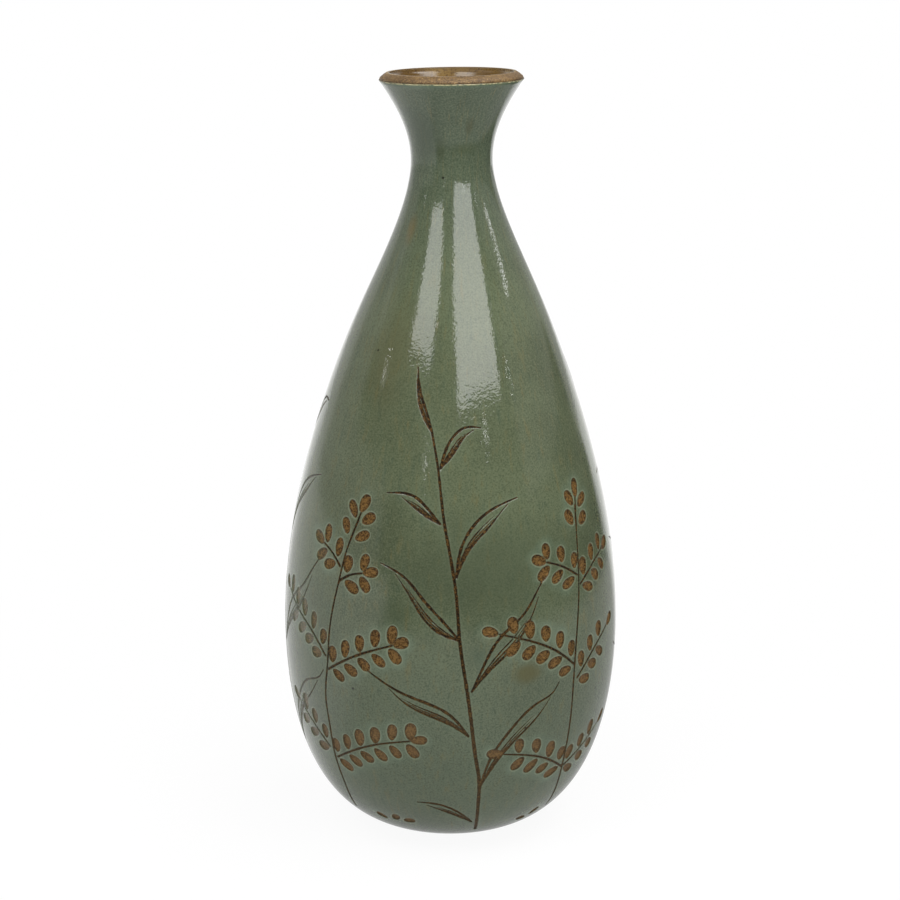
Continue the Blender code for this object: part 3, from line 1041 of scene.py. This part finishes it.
def white_floor():
    """White to the camera; in the glaze a bright sheet near the bottle, and white behind and aside."""
    finish = Finish(bpy.data.materials.new("white_table"))
    place = finish.place()
    away = finish.node("VectorMath", {"operation": "LENGTH"}, {0: place}, "Value")
    x, y = (finish.node("SeparateXYZ", {}, {0: place}, i) for i in range(2))
    plain = finish.node("BsdfDiffuse", {}, {"Color": (0.86, 0.86, 0.86, 1)})
    glow = finish.node("Emission", {}, {"Color": (1, 1, 1, 1), "Strength": 1.0})
    dim = finish.node("Emission", {}, {"Color": (1, 1, 1, 1), "Strength": 0.08})
    white = 0.94 + finish.between(away, 0.06, 0.22) * 0.06
    seen = finish.node("LightPath", {}, {}, "Is Camera Ray") * white
    matt = finish.node("MixShader", {}, {0: seen, 1: plain, 2: glow})
    near = finish.between(away, 0.40, 0.28) * 0.40
    behind = finish.between(y + x * 1.2, 0.0, 0.15)
    aside = finish.between(y - x * 1.1, -0.06, 0.10) * (0.68 + behind * 0.24)
    bright = near.maths("MAXIMUM", near, aside)
    lit = finish.node("Emission", {}, {"Color": (1, 1, 1, 1), "Strength": 1.4})
    mirrored = finish.node("MixShader", {}, {0: bright, 1: dim, 2: lit})
    glossy = finish.node("LightPath", {}, {}, "Is Glossy Ray")
    shader = finish.node("MixShader", {}, {0: glossy, 1: matt, 2: mirrored})
    finish.node("OutputMaterial", {}, {"Surface": shader})
    return finish.owner


def table():
    """A round table top."""
    mesh = bpy.data.meshes.new("table")
    turns = np.arange(96) * 2 * math.pi / 96
    rim = [(TABLE_RADIUS * math.cos(t), TABLE_RADIUS * math.sin(t), 0.0) for t in turns]
    mesh.from_pydata(rim, [], [tuple(range(96))])
    mesh.materials.append(white_floor())
    piece = bpy.data.objects.new("table", mesh)
    bpy.context.scene.collection.objects.link(piece)


WALLS = [  # azimuths from and to, elevations from and to, how much brighter than the fill
    ((-190, -52), (-90, 12), 0.42),
    ((-190, -94), (12, 24), 0.42),
    ((-190, -82), (20, 32), 0.25),
    ((-190, -128), (-90, 16), 0.30),
    ((60, 134), (8, 30), 0.38),
    ((134, 190), (-4, 30), 0.50),
    ((-190, 190), (46, 95), 0.45),
    ((50, 138), (52, 73), 5.0),
    ((-69, -19), (52, 73), 5.0),
]
FILL = 0.12  # the light that comes from everywhere
SOFT_SIDE, SOFT_END = 4, 1.5  # degrees over which a wall fades at its sides and at its ends


def sky():
    """White to the camera; to everything else a soft fill with the room's walls and windows in it."""
    tent = Finish(bpy.data.worlds.new("tent"))
    way = tent.node("TexCoord")
    x, y, z = (tent.node("SeparateXYZ", {}, {0: way}, i) for i in range(3))
    azimuth = x.maths("ARCTAN2", x, y * -1) * math.degrees(1)
    elevation = z.maths("ARCSINE", z) * math.degrees(1)
    level = FILL
    for (left, right), (low, high), brighter in WALLS:
        across = tent.between(azimuth, left - SOFT_SIDE, left + SOFT_SIDE)
        across = across * tent.between(azimuth, right + SOFT_SIDE, right - SOFT_SIDE)
        upright = tent.between(elevation, low - SOFT_END, low + SOFT_END)
        upright = upright * tent.between(elevation, high + SOFT_END, high - SOFT_END)
        level = level + across * upright * brighter
    seen = tent.node("LightPath", {}, {}, "Is Camera Ray")
    strength = level * (1 - seen) + seen
    light = tent.node("Background", {}, {"Color": (1, 1, 1, 1), "Strength": strength})
    tent.node("OutputWorld", {}, {"Surface": light})
    bpy.context.scene.world = tent.owner


table()
sky()
print(len(WALLS), "walls and windows in the room")

# %% [markdown]
# ## Lamps
#
# Two soft boxes above and in front make the broad highlights on the shoulder. A small window at the right
# draws the thin strip beside them, and four little lamps leave their sparks. Each lamp is placed by the
# direction in which it is seen from the bottle, because a reflection depends on direction first, and its
# width and height follow from the shape of its highlight. Brightness is set for the lamp's face, so a
# larger lamp gives more light and not a brighter highlight.

# %% Place the lamps
AIM = 0.12  # metres above the table, where the lamps look


def toward(azimuth, elevation, distance):
    """A point seen in that direction from the bottle's axis at the height of the aim, in metres."""
    azimuth, elevation = math.radians(azimuth), math.radians(elevation)
    level = distance * math.cos(elevation)
    height = AIM + distance * math.sin(elevation)
    return Vector((level * math.sin(azimuth), -level * math.cos(azimuth), height))


def soft_box(name, azimuth, elevation, distance, width, tall, radiance):
    """A rectangular lamp facing the bottle; radiance is the brightness of its face."""
    lamp = bpy.data.lights.new(name, "AREA")
    lamp.shape = "RECTANGLE"
    lamp.size = width
    lamp.size_y = tall
    lamp.energy = radiance * math.pi * width * tall
    piece = bpy.data.objects.new(name, lamp)
    piece.location = toward(azimuth, elevation, distance)
    piece.rotation_euler = (Vector((0, 0, AIM)) - piece.location).to_track_quat("-Z", "Y").to_euler()
    bpy.context.scene.collection.objects.link(piece)


soft_box("right_box", 27, 38.0, 0.264, 0.19, 0.16, 5.2)
soft_box("left_box", -36, 39.9, 0.465, 0.198, 0.19, 4.8)
soft_box("small_window", 83, 29.7, 0.165, 0.024, 0.004, 9.0)
soft_box("spark_left", -72, 20.5, 0.8, 0.022, 0.005, 50.0)
soft_box("spark_right", 61, 22.2, 0.8, 0.012, 0.006, 60.0)
soft_box("spark_front_right", 29.7, 18.6, 0.8, 0.014, 0.03, 18.0)
soft_box("spark_front_left", -20.5, 15.0, 0.8, 0.010, 0.03, 16.0)

# %% [markdown]
# ## The camera
#
# The picture was taken from a little above, close enough that the rim shows as a thin ellipse. The lens is
# worked out from the picture: a square frame on a 36 mm sensor.

# %% Set up the camera
PITCH = 14.37  # degrees below level
SENSOR = 36.0  # millimetres
PICTURE_WIDTH = 900  # pixels
FOCAL_LENGTH = 2120.3  # in the same pixels
STAND = (-0.0002, -0.4919, 0.2181)  # metres

view = bpy.data.cameras.new("camera")
view.sensor_width = SENSOR
view.lens = SENSOR * FOCAL_LENGTH / PICTURE_WIDTH
camera = bpy.data.objects.new("camera", view)
camera.location = STAND
camera.rotation_euler = (math.radians(90 - PITCH), 0, 0)
bpy.context.scene.collection.objects.link(camera)
bpy.context.scene.camera = camera
bpy.context.scene.view_settings.view_transform = "Standard"
print("camera", [round(c, 4) for c in camera.location], "lens", round(view.lens, 2))
